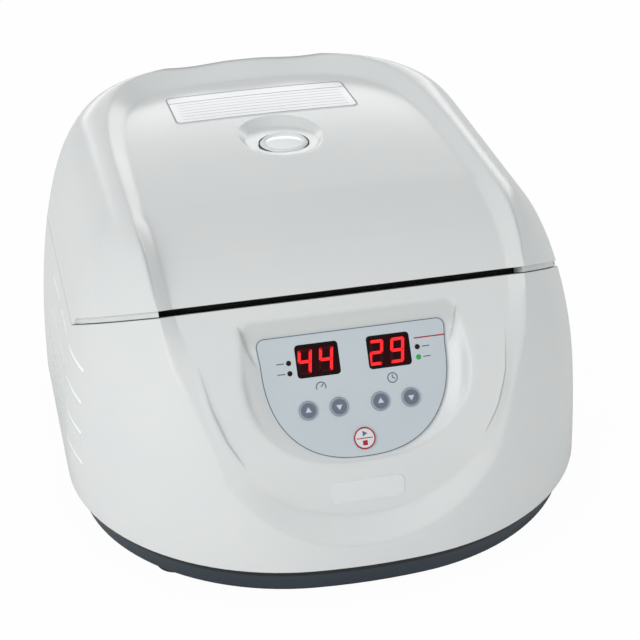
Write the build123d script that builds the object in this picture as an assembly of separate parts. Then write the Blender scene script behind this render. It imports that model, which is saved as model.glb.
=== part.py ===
"""Bench-top clinical centrifuge: housing, lid, rotor, drive, panel and latch as separate solids.

Millimetres. The origin is on the bench under the middle of the machine. The front faces -Y,
+Z is up, and the machine is symmetric about X = 0 apart from its electrical parts.
"""
from build123d import *
import math
import os

# Housing, measured over the white moulding
half_width = 169.5
front_y = -206.0
rear_y = 199.0
skirt_z = 22.0
top_z = 203.5
wall = 3.0
side_spring_z = 19.0
side_power = 2.18
crest_half = 112.0
nose_spring_z = 92.0
nose_rise = 170.0
nose_reach = 125.0
nose_power = 1.72
tail_spring_z = 158.0
tail_round = 120.0
front_bow = 330.0
rear_bow = 450.0
front_corner_share = 0.88
rear_corner_share = 0.62
shell_levels = 16
turn_steps = 12

# Room past the machine, for cutters that run right through it
past_x = 200.0
past_y = 260.0
past_z = 260.0
under_z = -20.0

# Recessed middle of the lid and of the front
core_y = -10.0
core_z = 81.8
core_reach = 182.4
core_rise = 119.5
core_power_y = 2.77
core_power_z = 1.75
core_fall = 1970.0
core_bow = 1378.0
core_crown = 2500.0
core_steps = 10
core_run_out = 60.0
core_side_lap = 10.0
band_mid_y = -40.0
band_breadth = 116.0
band_rear_y = 190.0
band_run = 10.0
band_rear_run = 14.0
band_power = 3.9
band_front_stations = (-126.0, -110.0, -90.0, -65.0)
band_narrowing = 8.0
foot_lap = 6.0
crest_lap = 8.0
cutter_height = 45.0
zone_margin = 3.0
zone_lap = 7.0
zone_height = 80.0
zone_reach = 150.0
bib_top_z = 165.0
bib_low_z = 37.0
bib_breadth = 108.0
bib_run = 13.5
bib_power = 2.1
bib_steps = 9
bib_turn = 10.0

# Parting between lid and body
parting_z = 134.0
parting_y = -62.0
parting_slope = 0.5
seam_gap = 0.6
finger_gap = 4.5
finger_y = -120.0
finger_breadth = 112.0
groove_depth = 2.0
rim_land = 5.0
ledge_y = -88.0
ledge_thick = 8.5
groove_stop = 6.0

# Drive and chamber, all on one vertical axis
rotor_y = 38.0
bowl_radius = 102.0
bowl_floor_z = 54.0
bowl_wall = 1.2
bowl_flange = 7.0
bowl_hole = 10.0
bowl_corner = 8.0
bowl_gap = 0.8
gasket_height = 2.8
gasket_lip_z = 1.4
gasket_inner = 1.5
gasket_outer = 6.0
gasket_lip_inner = 2.9
gasket_lip_outer = 4.6
motor_radius = 40.0
motor_height = 28.0
motor_round = 3.0
motor_boss_radius = 14.0
motor_boss_height = 1.0
motor_screw_depth = 6.0
motor_shaft_seat = 4.0
motor_plate_side = 104.0
motor_plate_thick = 3.0
motor_plate_corner = 12.0
damper_radius = 8.0
damper_height = 10.0
damper_pitch = 80.0
damper_waist = 2.0
shaft_radius = 4.0
shaft_fit = 0.05
shaft_top_z = 112.0
shaft_chamfer = 0.8

# Fixed-angle rotor for 15 ml tubes
places = 8
tube_angle = 33.0
tube_top_radius = 46.0
tube_top_z = 112.0
sleeve_radius = 9.2
sleeve_wall = 0.8
sleeve_length = 55.0
sleeve_lip = 1.6
sleeve_fit = 0.1
sleeve_floor = 1.0
cushion_height = 4.0
rotor_low_z = 58.0
hub_radius = 20.0
nut_radius = 11.0
nut_height = 14.0
nut_chamfer = 2.0
nut_grips = 12
nut_grip_radius = 1.5

# Window in the lid
window_radius = 16.3
window_ring_width = 3.7
window_stand = 3.0
window_shelf = 2.5
ring_chamfer = 1.2
ring_inner_chamfer = 1.0
lens_proud = 0.9
lens_rise = 1.7
lens_fit = 0.05
dish_radius = 36.0

# Liner under the lid
liner_thick = 2.5
well_radius = bowl_radius + 2.0
well_top_radius = well_radius - 14.0
well_top_z = 165.0
liner_gap = 0.4
liner_step = 3.0
sight_radius = 14.0

# Control panel
panel_tilt = 31.0
panel_y = -159.5
panel_z = 142.6
panel_half = 57.0
panel_top = 15.5
panel_sheet = 0.8
pocket_gap = 1.5
display_width = 25.0
display_height = 19.0
display_offset = 21.9
key_radius = 5.6
key_inner_x = 12.7
key_outer_x = 31.5
key_drop = 29.4
run_key_radius = 6.6
run_key_drop = 50.0
key_stand = 1.2
key_gap = 0.3
key_flange = 1.4
key_round = 0.6
key_stem_radius = 2.0
key_stem = 3.0
lamp_radius = 1.5
lamp_x = 39.5
lamp_pitch = 6.2
board_back = 9.5
board_thick = 1.6
board_post_radius = 3.0
board_post_inset = 5.0

# Base pan and feet
pan_floor_z = 4.0
pan_inset = 2.0
pan_foot_inset = 8.0
pan_wall = 3.0
foot_radius = 15.0
foot_taper = 2.0
foot_recess = 2.2
foot_recess_radius = 4.2
foot_head_radius = 3.8
foot_head_z = 0.8
foot_screw_top = 12.0
driver_slot_length = 5.0
driver_slot_width = 1.0
driver_slot_depth = 0.8
foot_x = half_width - 57.5
foot_front_y = front_y + 65.0
foot_rear_y = rear_y - 65.0

# Hinges and latch
hinge_y = rear_y + 1.5
hinge_x = 38.0
knuckle_radius = 5.5
knuckle_width = 7.4
knuckle_gap = 0.3
knuckle_room = 0.4
leaf_reach = 14.0
leaf_height = 15.0
leaf_clear = 1.0
pin_radius = 2.0
pin_fit = 0.05
latch_y = -112.0
striker_width = 20.0
striker_thick = 2.0
striker_root = 8.0
striker_fit = 0.05
striker_frame = 2.5
striker_window = 5.5
striker_window_half = 6.0
slot_half_y = 5.0
slot_down = 10.0
slot_up = 60.0

# Rear plate
plate_width = 113.4
plate_height = 49.4
plate_z = 55.0
plate_y = rear_y - 9.0
plate_thick = 2.0
plate_gap = 0.3
cutout_gap = 0.2

# Side vents
vent_columns = 3
vent_rows = 4
vent_length = 38.0
vent_height = 3.4
vent_pitch_y = 50.0
vent_pitch_z = 22.0
vent_first_y = -98.0
vent_first_z = 52.0

# Smaller details
plate_lift = 0.5
label_width = 130.0
label_length = 58.0
label_y = 91.0
label_corner = 5.0
name_width = 45.0
name_height = 15.0
name_corner = 4.0
name_z = 68.0
panel_low = 61.0
panel_power = 2.4
panel_corner = 5.0
pocket_rise = 24.0
pocket_side = 33.0
pocket_head = 220.0
pocket_flare = 7.0
pocket_corner = 9.0
tray_margin = 10.0
tray_thick = 2.5
tray_reach = 40.0
hole_lap = 2.0
board_half = 50.0
board_high = 12.0
board_low = -57.0
board_post_low = -32.0
deck_sink = 2.0
deck_low = 129.0
slot_half = 12.0
lid_block_y = -98.0
boss_low_z = 188.0
boss_radius = 5.0
boss_margin = 6.0
shelf_z = 191.0
screw_hole = 1.6
screw_fit = 0.05
screw_head_radius = 3.6
screw_head = 2.2
liner_screw_head = 1.6
liner_screw_length = 12.0
liner_z = 136.3
liner_screw_spots = ((127.0, -30.0), (127.0, 95.0), (70.0, 160.0))
liner_screw_places = [(side * x, y) for side in (-1, 1) for x, y in liner_screw_spots]
dish_y = 46.0
dish_floor_z = 197.0
dish_fall = 0.096
dish_half_x = 24.0
dish_half_y = 34.0
dish_rise = 8.0
dish_flare = 10.0
pan_top_z = skirt_z - 0.3
foot_places = [(side * foot_x, y) for side in (-1, 1) for y in (foot_front_y, foot_rear_y)]
motor_screw_circle = 30.0
head_half = 13.0
hub_top_z = 98.0
hub_join_radius = 24.4
head_skirt = 6.0
head_foot_rise = 4.0
head_foot_in = 2.0
head_foot_run = 7.0
web_down = 26.0
web_run = 3.0
web_drop = 14.0
hub_shoulder = 18.0
hub_length = 26.0
seat_depth = 1.0
seat_gap = 0.6
hook_pin = 2.0
hook_pivot_z = 121.0
hook_pivot_y = latch_y + 6.0
hook_nose_z = 138.5
hook_half = 3.0
hook_heel = 4.0
hook_head = 3.5
hook_bite = 4.5
latch_box_half = 18.0
latch_box_front = 13.0
latch_box_drop = 8.0
latch_wall = 4.0
latch_floor = 3.0
latch_rear_gap = 1.0
latch_rear_wall = 2.5
coil_radius = 8.0
coil_half = 20.0
coil_y = latch_y + 4.0
sensor_x = 38.0
sensor_half_x = 8.0
sensor_half_y = 6.0
sensor_low_z = 138.0
pad_half = 62.0
pad_height = 60.0
pad_depth = 6.0
pad_rim = 10.0
rear_room_half_z = 19.0
rear_room_depth = 20.0
inlet_x = -33.0
inlet_half = (13.5, 10.0)
inlet_flange_half = (16.0, 13.0)
inlet_socket_half = (11.5, 7.7)
inlet_depth = 17.0
inlet_socket_depth = 14.0
inlet_flange = 1.6
blade_places = ((-7.0, -1.0), (0.0, 2.5), (7.0, -1.0))
blade_half = (1.0, 2.2)
blade_length = 14.0
fuse_x = 0.0
fuse_half = (6.0, 8.0)
fuse_flange_half = (8.0, 10.0)
fuse_depth = 14.0
fuse_flange = 1.4
fuse_grip_half = 4.0
switch_x = 33.0
switch_half = (9.5, 13.0)
switch_flange_half = (11.5, 15.0)
switch_depth = 14.0
switch_flange = 1.8
rocker_y = plate_y - 4.2
rocker_half = 9.6
rocker_half_width = 6.2
rocker_gap = 0.3
rocker_room = 10.6
rocker_sunk = 2.9
rocker_throw = 8.0
rocker_crest = 6.2
rocker_valley = 4.2
rocker_back = 1.0
rocker_draft = 0.6
trunnion_radius = 1.5
trunnion_reach = 8.0
supply_edge = 39.5
supply_width = 60.0
supply_height = 28.0
supply_y = 60.0
supply_length = 70.0

parts = {}


def side_x(z, inset=0.0):
    rise = max(z - side_spring_z, 0.0) / (top_z - side_spring_z)
    lean = 1 - (1 - rise**side_power) ** (1 / side_power)
    return half_width - (half_width - crest_half) * lean - inset


def nose_y(z, inset=0.0):
    rise = max(z - nose_spring_z, 0.0) / nose_rise
    return front_y + nose_reach * (1 - (1 - rise**nose_power) ** (1 / nose_power)) + inset


def tail_y(z, inset=0.0):
    rise = max(z - tail_spring_z, 0.0)
    return rear_y - tail_round + math.sqrt(tail_round**2 - rise**2) - inset


def plan_arcs(z, inset):
    """Centres and radii of the plan outline's front and rear corners at height z."""
    level = min(z + inset, top_z)
    half = side_x(level, inset)
    low = nose_y(level, inset)
    high = tail_y(level, inset)
    bow_f = front_bow - inset
    bow_r = rear_bow - inset
    turn_f = front_corner_share * half
    turn_r = rear_corner_share * half
    fx = half - turn_f
    rx = half - turn_r
    fy = low + bow_f - math.sqrt((bow_f - turn_f) ** 2 - fx**2)
    ry = high - bow_r + math.sqrt((bow_r - turn_r) ** 2 - rx**2)
    return half, low, high, bow_f, bow_r, turn_f, turn_r, fx, fy, rx, ry


def on_turn(cx, cy, radius, bow_cx, bow_cy, bow_radius):
    """Tangent point of a corner arc with its bow, and the corner arc's middle."""
    away = Vector(cx - bow_cx, cy - bow_cy).normalized()
    joint = Vector(bow_cx, bow_cy) + away * bow_radius
    middle = Vector(cx, cy) + (away + Vector(1, 0)).normalized() * radius
    return joint, middle


def plan_face(z, inset=0.0):
    half, low, high, bow_f, bow_r, turn_f, turn_r, fx, fy, rx, ry = plan_arcs(z, inset)
    tf, mf = on_turn(fx, fy, turn_f, 0, low + bow_f, bow_f)
    tr, mr = on_turn(rx, ry, turn_r, 0, high - bow_r, bow_r)
    with BuildSketch(Plane.XY.offset(z)) as sketch:
        with BuildLine():
            ThreePointArc((-tf.X, tf.Y), (0, low), (tf.X, tf.Y))
            ThreePointArc((tf.X, tf.Y), (mf.X, mf.Y), (half, fy))
            Line((half, fy), (half, ry))
            ThreePointArc((half, ry), (mr.X, mr.Y), (tr.X, tr.Y))
            ThreePointArc((tr.X, tr.Y), (0, high), (-tr.X, tr.Y))
            ThreePointArc((-tr.X, tr.Y), (-mr.X, mr.Y), (-half, ry))
            Line((-half, ry), (-half, fy))
            ThreePointArc((-half, fy), (-mf.X, mf.Y), (-tf.X, tf.Y))
        make_face()
    return sketch.sketch


def pebble(inset=0.0, low=skirt_z, high=top_z):
    """The domed outer form, or the same form inset evenly for an inner face."""
    top = high - inset
    rounds = [low + (top - low) * step / shell_levels for step in range(shell_levels + 1)]
    return loft([plan_face(z, inset) for z in rounds])


def shell_span(x, z):
    """Front and rear y of the outer form at breadth x and height z, or None outside it."""
    half, low, high, bow_f, bow_r, turn_f, turn_r, fx, fy, rx, ry = plan_arcs(z, 0.0)
    if x > half:
        return None
    if x <= fx * bow_f / (bow_f - turn_f):
        front = low + bow_f - math.sqrt(bow_f**2 - x**2)
    else:
        front = fy - math.sqrt(turn_f**2 - (x - fx) ** 2)
    if x <= rx * bow_r / (bow_r - turn_r):
        rear = high - bow_r + math.sqrt(bow_r**2 - x**2)
    else:
        rear = ry + math.sqrt(turn_r**2 - (x - rx) ** 2)
    return front, rear


def shell_top(x, y):
    """Height of the outer form over a point of the plan, by halving."""
    low, high = side_spring_z, top_z
    for _ in range(30):
        middle = (low + high) / 2
        span = shell_span(x, middle)
        if span and span[0] <= y <= span[1]:
            low = middle
        else:
            high = middle
    return low


def core_size(x, inset=0.0):
    return core_reach - x**2 / (2 * core_bow) - inset, core_rise - x**2 / (2 * core_crown) - inset


def core_top(x, y):
    reach, rise = core_size(x)
    if y >= core_y:
        return core_z + rise - (y - core_y) ** 2 / (2 * core_fall)
    share = ((core_y - y) / reach) ** core_power_y
    return core_z + rise * max(1 - share, 0.0) ** (1 / core_power_z)


def core_front(x, z):
    reach, rise = core_size(x)
    share = max(z - core_z, 0.0) / rise
    return core_y - reach * max(1 - share**core_power_z, 0.0) ** (1 / core_power_y)


def core_face(x, inset=0.0):
    """Side view of the recessed middle at breadth x: steep front, one long curve, level top."""
    reach, rise = core_size(x, inset)
    far = rear_y + core_run_out
    curve = []
    for step in range(core_steps + 1):
        turn = math.pi / 2 * step / core_steps
        curve.append((core_y - reach * math.cos(turn) ** (2 / core_power_y),
                      core_z + rise * math.sin(turn) ** (2 / core_power_z)))
    drop = (far - core_y) ** 2 / (2 * core_fall)
    half_drop = (far - core_y) ** 2 / (8 * core_fall)
    with BuildSketch(Plane(origin=(x, 0, 0), x_dir=(0, 1, 0), z_dir=(1, 0, 0))) as sketch:
        with BuildLine():
            Line((core_y - reach, under_z), curve[0])
            Spline(curve, tangents=((0, 1), (1, 0)))
            halfway = ((core_y + far) / 2, core_z + rise - half_drop)
            ThreePointArc(curve[-1], halfway, (far, core_z + rise - drop))
            Line((far, core_z + rise - drop), (far, under_z))
            Line((far, under_z), (core_y - reach, under_z))
        make_face()
    return sketch.sketch


def core(inset=0.0):
    edge = half_width + core_side_lap
    return loft([core_face(x, inset) for x in (-edge, -edge / 2, 0, edge / 2, edge)])


def power_turn(turn, power):
    """Unit superellipse at a polar angle, as its cosine-like and sine-like parts."""
    along, across = math.cos(turn), math.sin(turn)
    reach = (abs(along) ** power + abs(across) ** power) ** (-1 / power)
    return along * reach, across * reach


def band_stations():
    """Foot and crest of the sloped band, from the bib's lowest point round to the rear."""
    stations = []
    for step in range(bib_steps):
        down, out = power_turn(math.radians(bib_turn * step), bib_power)
        zo = bib_top_z - (bib_top_z - bib_low_z) * down
        xo = bib_breadth * out
        zi = bib_top_z - (bib_top_z - bib_low_z - bib_run) * down
        xi = (bib_breadth - band_run) * out
        span = shell_span(xo, zo)
        stations.append((Vector(xi, core_front(xi, zi), zi), Vector(xo, span[0], zo)))
    for y in band_front_stations:
        ease = ((band_mid_y - y) / (band_mid_y - front_y)) ** 2
        xo = band_breadth - band_narrowing * ease
        xi = xo - band_run
        stations.append((Vector(xi, y, core_top(xi, y)), Vector(xo, y, shell_top(xo, y))))
    for step in range(turn_steps + 1):
        out, back = power_turn(math.pi / 2 * step / turn_steps, band_power)
        xo = band_breadth * out
        yo = band_mid_y + (band_rear_y - band_mid_y) * back
        xi = (band_breadth - band_run) * out
        yi = band_mid_y + (band_rear_y - band_rear_run - band_mid_y) * back
        stations.append((Vector(xi, yi, core_top(xi, yi)), Vector(xo, yo, shell_top(xo, yo))))
    return stations


def band_section(foot, crest):
    ramp = (crest - foot).normalized()
    reach, rise = core_size(foot.X)
    if foot.Y >= core_y:
        out = Vector(0, 0, 1)
    else:
        out = Vector(0, (foot.Y - core_y) / reach**2, max(foot.Z - core_z, 0) / rise**2).normalized()
    away = (out - ramp * out.dot(ramp)).normalized()
    inner = foot - ramp * foot_lap
    outer = crest + ramp * crest_lap
    corners = [inner, outer, outer + away * cutter_height, inner + away * cutter_height]
    return Wire.make_polygon(corners, close=True)


def band_cutter():
    half = Solid.make_loft([band_section(foot, crest) for foot, crest in band_stations()])
    return half, half.mirror(Plane.YZ)


def slab(x0, x1, y0, y1, z0, z1):
    return Pos((x0 + x1) / 2, (y0 + y1) / 2, (z0 + z1) / 2) * Box(x1 - x0, y1 - y0, z1 - z0)


def post(radius, z0, z1, x=0.0, y=0.0):
    return Pos(x, y, (z0 + z1) / 2) * Cylinder(radius, z1 - z0)


def barrel(radius, x0, x1, y, z):
    """Cylinder lying along X."""
    return Pos((x0 + x1) / 2, y, z) * Rot(0, 90, 0) * Cylinder(radius, x1 - x0)


def side_prism(points, x0, x1):
    """Closed outline of (y, z) points, drawn out along X."""
    with BuildSketch(Plane(origin=(x0, 0, 0), x_dir=(0, 1, 0), z_dir=(1, 0, 0))) as sketch:
        with BuildLine():
            Polyline(*points, close=True)
        make_face()
    return extrude(sketch.sketch, x1 - x0)


def turned(points, y):
    """Closed outline of (radius, z) points, turned about the vertical axis at (0, y)."""
    with BuildSketch(Plane.XZ) as sketch:
        with BuildLine():
            Polyline(*points, close=True)
        make_face()
    return Pos(0, y, 0) * revolve(sketch.sketch, Axis.Z, 360)


def largest(shape):
    return max(shape.solids(), key=lambda body: body.volume)


def parting_at(y):
    return parting_z + max(parting_y - y, 0.0) * parting_slope


def parting_prism(shift, y0=-past_y, y1=past_y, below=True, x0=-past_x, x1=past_x):
    """Everything below (or above) the parting surface moved by shift, between two y values."""
    end = under_z if below else past_z
    points = [(y0, parting_at(y0) + shift)]
    if y0 < parting_y < y1:
        points.append((parting_y, parting_z + shift))
    points += [(y1, parting_at(y1) + shift), (y1, end), (y0, end)]
    return side_prism(points, x0, x1)


def inner_zones():
    """Straight-walled zones of the recess on the lid and on the front, just inside the band."""
    feet = [foot for foot, crest in band_stations()]
    lid_feet = feet[bib_steps:-1]
    rear_limit = band_rear_y - band_rear_run - zone_margin
    plan = [(foot.X - zone_margin, min(foot.Y, rear_limit)) for foot in lid_feet]
    plan = [(plan[0][0], -past_y)] + plan + [(0, feet[-1].Y - zone_margin)]
    plan += [(-x, y) for x, y in reversed(plan[:-1])]
    with BuildSketch(Plane.XY.offset(bib_top_z)) as lid_outline:
        with BuildLine():
            Polyline(*plan, close=True)
        make_face()
    front = [(foot.X - min(zone_margin, foot.X), foot.Z + zone_margin) for foot in feet[:bib_steps]]
    front.append((lid_feet[0].X - zone_margin, bib_top_z + zone_lap))
    front += [(-x, z) for x, z in reversed(front[1:])]
    with BuildSketch(Plane.XZ.offset(-front_y / 2)) as bib_outline:
        with BuildLine():
            Polyline(*front, close=True)
        make_face()
    return extrude(lid_outline.sketch, zone_height), extrude(bib_outline.sketch, zone_reach)


def housing_form(outer, middle):
    form = outer
    for zone in inner_zones() + band_cutter():
        form = largest(form - (zone - middle))
    return form


panel_plane = Plane(origin=(0, panel_y, panel_z), x_dir=(1, 0, 0),
                    z_dir=(0, -math.cos(math.radians(panel_tilt)), math.sin(math.radians(panel_tilt))))


def on_panel(across, along, out):
    """Place on the control panel: across, up along its slope and out of its face."""
    return panel_plane.location * Pos(across, along, out)


def panel_outline(margin, out, head=0.0, flare=0.0, corner=panel_corner):
    """Flat-topped outline with a rounded foot, grown by margin and by head above, at out off the face."""
    half = panel_half + margin
    low = panel_low + margin
    points = []
    for step in range(turn_steps + 1):
        across, down = power_turn(math.pi / 2 * step / turn_steps, panel_power)
        points.append((half * across, -low * down))
    left = [(-x, y) for x, y in reversed(points[:-1])]
    wide = half + flare
    top = panel_top + margin + head
    bend = corner * (1 - math.sqrt(0.5))
    with BuildSketch(panel_plane.offset(out)) as sketch:
        with BuildLine():
            Line((wide, top - corner), (half, 0))
            Spline(points + left, tangents=((0, -1), (0, 1)))
            Line((-half, 0), (-wide, top - corner))
            ThreePointArc((-wide, top - corner), (bend - wide, top - bend), (corner - wide, top))
            Line((corner - wide, top), (wide - corner, top))
            ThreePointArc((wide - corner, top), (wide - bend, top - bend), (wide, top - corner))
        make_face()
    return sketch.sketch


def panel_solid(margin, low, high):
    return extrude(panel_outline(margin, low), high - low)


key_places = {
    "speed_up_key": (-key_outer_x, -key_drop, key_radius),
    "speed_down_key": (-key_inner_x, -key_drop, key_radius),
    "time_up_key": (key_inner_x, -key_drop, key_radius),
    "time_down_key": (key_outer_x, -key_drop, key_radius),
    "run_stop_key": (0.0, -run_key_drop, run_key_radius),
}
lamp_places = [(side * lamp_x, -row * lamp_pitch) for side in (-1, 1) for row in (0, 1)]
display_places = {"speed_display": -display_offset, "time_display": display_offset}


def panel_holes(low, high, slack):
    """Openings for displays, keys and lamps between two heights above the panel face."""
    middle = (low + high) / 2
    deep = high - low
    holes = []
    for across in display_places.values():
        window = Box(display_width + 2 * slack, display_height + 2 * slack, deep)
        holes.append(on_panel(across, 0, middle) * window)
    for across, along, radius in key_places.values():
        holes.append(on_panel(across, along, middle) * Cylinder(radius + slack, deep))
    for across, along in lamp_places:
        holes.append(on_panel(across, along, middle) * Cylinder(lamp_radius + slack, deep))
    return holes


def build_housing():
    outer = pebble()
    middle = core()
    form = housing_form(outer, middle)
    hollow = pebble(wall) & core(wall)

    # Body below the parting surface, with a sunk deck round the chamber
    body = form & parting_prism(0.0)
    sunk = pebble(wall + rim_land) & slab(-past_x, past_x, ledge_y, past_y, parting_z - deck_sink, past_z)
    ledge_end = ledge_y - wall
    ledge_points = [(y, parting_at(y) - ledge_thick) for y in (-past_y, ledge_end)]
    ledge_points += [(ledge_end, deck_low), (past_y, deck_low), (past_y, under_z), (-past_y, under_z)]
    under_deck = side_prism(ledge_points, -past_x, past_x)
    tray = panel_solid(tray_margin, -panel_sheet - tray_thick, tray_reach)
    pad_low, pad_high = plate_z - pad_height / 2, plate_z + pad_height / 2
    rear_pad = slab(-pad_half, pad_half, plate_y - pad_depth, past_y, pad_low, pad_high)
    room = (hollow & under_deck) - tray - rear_pad
    body = body - sunk - room
    body -= post(bowl_radius + bowl_wall + bowl_gap, deck_low - hole_lap, parting_z + hole_lap, 0, rotor_y)
    floor_line = panel_outline(pocket_gap, -panel_sheet, 0.0, pocket_flare, pocket_corner)
    mouth_out = pocket_rise - panel_sheet
    mouth_line = panel_outline(pocket_gap + pocket_side, mouth_out, pocket_head, pocket_flare, pocket_corner)
    body -= loft([floor_line, mouth_line])
    for hole in panel_holes(-panel_sheet - tray_thick - hole_lap, hole_lap, key_gap):
        body -= hole
    plate_half, plate_rise = plate_width / 2 + plate_gap, plate_height / 2 + plate_gap
    body -= slab(-plate_half, plate_half, plate_y - plate_thick, past_y,
                 plate_z - plate_rise, plate_z + plate_rise)
    room_half = pad_half - pad_rim
    body -= slab(-room_half, room_half, plate_y - rear_room_depth, plate_y,
                 plate_z - rear_room_half_z, plate_z + rear_room_half_z)
    body -= slab(-slot_half, slot_half, latch_y - slot_half_y, latch_y + slot_half_y,
                 parting_z - slot_down, parting_z + slot_up)
    for column in range(vent_columns):
        for row in range(vent_rows):
            y = vent_first_y + column * vent_pitch_y
            z = vent_first_z + row * vent_pitch_z
            body -= slab(-past_x, past_x, y, y + vent_length, z, z + vent_height)
    relief = knuckle_radius + knuckle_room
    hinge_reach = 1.5 * knuckle_width + 2 * knuckle_gap
    for side in (-1, 1):
        body -= barrel(relief, side * hinge_x - hinge_reach, side * hinge_x + hinge_reach, hinge_y, parting_z)
    parts["body_shell"] = largest(body)

    # Lid above it, with the finger gap in front and a shallow groove round the front corners
    lid = form & parting_prism(seam_gap, below=False)
    lid -= parting_prism(finger_gap, -past_y, finger_y, True, -finger_breadth, finger_breadth)
    skin = outer - pebble(groove_depth)
    groove = skin & parting_prism(finger_gap, -past_y, parting_y - groove_stop)
    lid -= groove - slab(-finger_breadth, finger_breadth, -past_y, past_y, 0, past_z)
    lid_room = hollow & slab(-past_x, past_x, lid_block_y, past_y, skirt_z, past_z)
    lid_room -= post(dish_radius + boss_margin, boss_low_z, past_z, 0, dish_y)
    for x, y in liner_screw_places:
        lid_room -= post(boss_radius, liner_z + liner_thick, past_z, x, y)
    lid -= lid_room
    floor = Plane(origin=(0, dish_y, dish_floor_z), x_dir=(1, 0, 0), z_dir=(0, dish_fall, 1))
    mouth = Ellipse(dish_half_x + dish_flare, dish_half_y + dish_flare)
    lid -= loft([floor * Ellipse(dish_half_x, dish_half_y), floor.offset(dish_rise) * mouth])
    lid -= post(window_radius + lens_fit, shelf_z, past_z, 0, rotor_y)
    lid -= post(window_radius - window_ring_width - window_shelf, skirt_z, past_z, 0, rotor_y)
    slot_width, slot_thick = striker_width / 2 + striker_fit, striker_thick / 2 + striker_fit
    lid -= slab(-slot_width, slot_width, latch_y - slot_thick, latch_y + slot_thick,
                skirt_z, parting_at(latch_y) + striker_root)
    for x, y in liner_screw_places:
        lid -= post(screw_hole, liner_z, liner_z + liner_screw_length + hole_lap, x, y)
    for side in (-1, 1):
        lid -= barrel(relief, side * hinge_x - hinge_reach, side * hinge_x + hinge_reach, hinge_y, parting_z)
    parts["lid_shell"] = largest(lid)

    # Bare label plates lying on the recess
    lift = core(-plate_lift) - middle
    label_shape = RectangleRounded(label_width, label_length, label_corner)
    label_face = Plane.XY.offset(bib_top_z) * Pos(0, label_y + label_length / 2) * label_shape
    parts["lid_label"] = largest(lift & extrude(label_face, top_z - bib_top_z))
    name_shape = RectangleRounded(name_width, name_height, name_corner)
    name_face = Plane.XZ.offset(-front_y / 2) * Pos(0, name_z) * name_shape
    parts["name_plate"] = largest(lift & extrude(name_face, -front_y / 2))

    # Hinge leaves follow the rear wall
    leaves = []
    blocks = []
    for side in (-1, 1):
        for place in (-1, 0, 1):
            mid = side * hinge_x + place * (knuckle_width + knuckle_gap)
            x0, x1 = mid - knuckle_width / 2, mid + knuckle_width / 2
            up = 1 if place else -1
            arm_low, arm_high = sorted((parting_z, parting_z + up * leaf_height))
            arm = slab(x0, x1, hinge_y - leaf_reach, hinge_y + knuckle_radius, arm_low, arm_high)
            arm = arm - outer - slab(-past_x, past_x, 0, past_y, parting_z - leaf_clear, parting_z + leaf_clear)
            solid = barrel(knuckle_radius, x0, x1, hinge_y, parting_z)
            solid = solid + arm - barrel(pin_radius + pin_fit, x0 - hole_lap, x1 + hole_lap, hinge_y, parting_z)
            (leaves if place else blocks).append(largest(solid))
    parts["lid_knuckles"] = Compound(children=leaves)
    parts["hinge_blocks"] = Compound(children=blocks)
    pin_reach = hinge_reach - knuckle_gap
    pins = []
    for side in (-1, 1):
        mid = side * hinge_x
        pins.append(barrel(pin_radius, mid - pin_reach, mid + pin_reach, hinge_y, parting_z))
    parts["hinge_pins"] = Compound(children=pins)


def build_base():
    outer = loft([plan_face(pan_floor_z, pan_foot_inset), plan_face(pan_top_z, pan_inset)])
    room_low = plan_face(pan_floor_z + pan_wall, pan_foot_inset + pan_wall)
    room_high = plan_face(pan_top_z + hole_lap, pan_inset + pan_wall)
    pan = outer - loft([room_low, room_high])
    for x, y in foot_places:
        pan -= post(screw_hole, under_z, pan_top_z, x, y)
    parts["base_pan"] = pan
    feet = []
    screws = []
    for x, y in foot_places:
        foot = Pos(x, y, pan_floor_z / 2) * Cone(foot_radius - foot_taper, foot_radius, pan_floor_z)
        foot -= post(foot_recess_radius, under_z, foot_recess, x, y)
        foot -= post(screw_hole, under_z, pan_top_z, x, y)
        feet.append(foot)
        screw = post(foot_head_radius, foot_head_z, foot_recess, x, y)
        screw += post(screw_hole - screw_fit, foot_recess, foot_screw_top, x, y)
        screw -= slab(x - driver_slot_length / 2, x + driver_slot_length / 2, y - driver_slot_width / 2,
                      y + driver_slot_width / 2, 0, foot_head_z + driver_slot_depth)
        screws.append(screw)
    parts["rubber_feet"] = Compound(children=feet)
    parts["foot_screws"] = Compound(children=screws)


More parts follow.
